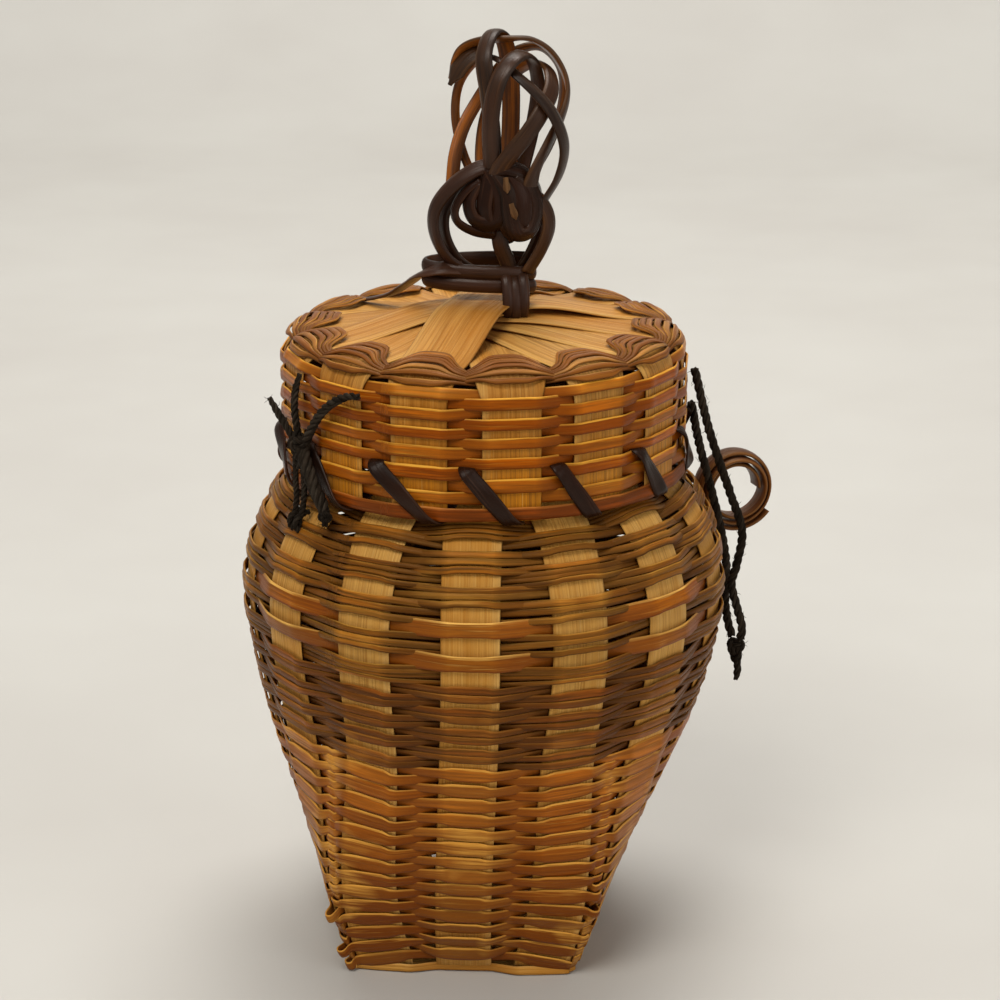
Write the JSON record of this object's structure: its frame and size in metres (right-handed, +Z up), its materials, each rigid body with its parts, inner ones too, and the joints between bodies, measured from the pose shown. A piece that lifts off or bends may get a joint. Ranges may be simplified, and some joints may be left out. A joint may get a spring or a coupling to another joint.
{
  "type": "fishing creel",
  "caption": "Small woven bamboo fishing creel with a plaited square base, round shoulder, tied cap lid with a knotted grip, a belt ring and a latch cord.",
  "frame": {"origin": "under the middle of the plaited base, on the surface that the creel stands on", "axes": "+Z up towards the grip, -Y towards the front, +X towards the latch cord"},
  "size_m": [0.0946, 0.0846, 0.1643],
  "materials": {
    "stake_bamboo": "dry split bamboo, satin",
    "lid_stake_bamboo": "dry split bamboo, satin",
    "lower_weft": "aged bamboo strip, satin",
    "middle_weft": "smoked bamboo strip, satin",
    "shoulder_weft": "fine smoked strips, satin",
    "neck_weft": "aged bamboo strip, satin",
    "lid_weft": "golden bamboo strip, glossy",
    "lid_edge_weft": "fine brown strips, satin",
    "smoked_strip": "dark smoked rattan strip, glossy",
    "ring_strip": "brown rattan strip, satin",
    "twine": "black waxed twine"
  },
  "bodies": {
    "basket": {"front_splint_1": "stake_bamboo", "front_splint_2": "stake_bamboo", "front_splint_3": "stake_bamboo", "side_splint_1": "stake_bamboo", "side_splint_2": "stake_bamboo", "side_splint_3": "stake_bamboo", "side_splint_4": "stake_bamboo", "lower_weaver_1": "lower_weft", "lower_weaver_2": "lower_weft", "lower_weaver_3": "lower_weft", "lower_weaver_4": "lower_weft", "lower_weaver_5": "lower_weft", "lower_weaver_6": "lower_weft", "middle_weaver_1": "middle_weft", "middle_weaver_2": "middle_weft", "shoulder_weaver_1": "shoulder_weft", "shoulder_weaver_2": "shoulder_weft", "shoulder_weaver_3": "shoulder_weft", "shoulder_weaver_4": "shoulder_weft", "shoulder_weaver_5": "shoulder_weft", "shoulder_weaver_6": "shoulder_weft", "neck_hoop_1": "neck_weft", "neck_hoop_2": "neck_weft", "belt_ring": "ring_strip"},
    "lid": {"lid_splint_1": "lid_stake_bamboo", "lid_splint_2": "lid_stake_bamboo", "lid_splint_3": "lid_stake_bamboo", "lid_splint_4": "lid_stake_bamboo", "lid_splint_5": "lid_stake_bamboo", "lid_splint_6": "lid_stake_bamboo", "lid_splint_7": "lid_stake_bamboo", "lid_rim_hoop_1": "lid_weft", "lid_rim_hoop_2": "lid_weft", "lid_wall_weaver_1": "lid_weft", "lid_wall_weaver_2": "lid_weft", "lid_edge_hoop_1": "lid_edge_weft", "lid_edge_hoop_2": "lid_edge_weft", "rim_lashing": "smoked_strip", "grip_binding": "smoked_strip", "grip_stem": "smoked_strip", "grip_knot": "smoked_strip", "grip_loop_left": "smoked_strip", "grip_loop_right": "smoked_strip", "grip_hoop_1": "smoked_strip", "grip_hoop_2": "smoked_strip", "grip_hoop_3": "smoked_strip", "grip_hoop_4": "smoked_strip", "hinge_tie_knot": "twine", "hinge_tie_strand_1": "twine", "hinge_tie_strand_2": "twine", "hinge_tie_tail_1": "twine", "hinge_tie_tail_2": "twine", "hinge_tie_tail_3": "twine", "hinge_tie_tail_4": "twine", "latch_cord_outer": "twine", "latch_cord_inner": "twine", "latch_knot": "twine"}
  },
  "joints": [
    {"name": "lid_hinge", "type": "hinge", "parent": "basket", "child": "lid", "pos_m": [-0.02766, -0.02364, 0.084], "axis": [0.6157, -0.788, 0], "range_deg": [0, 115]}
  ]
}
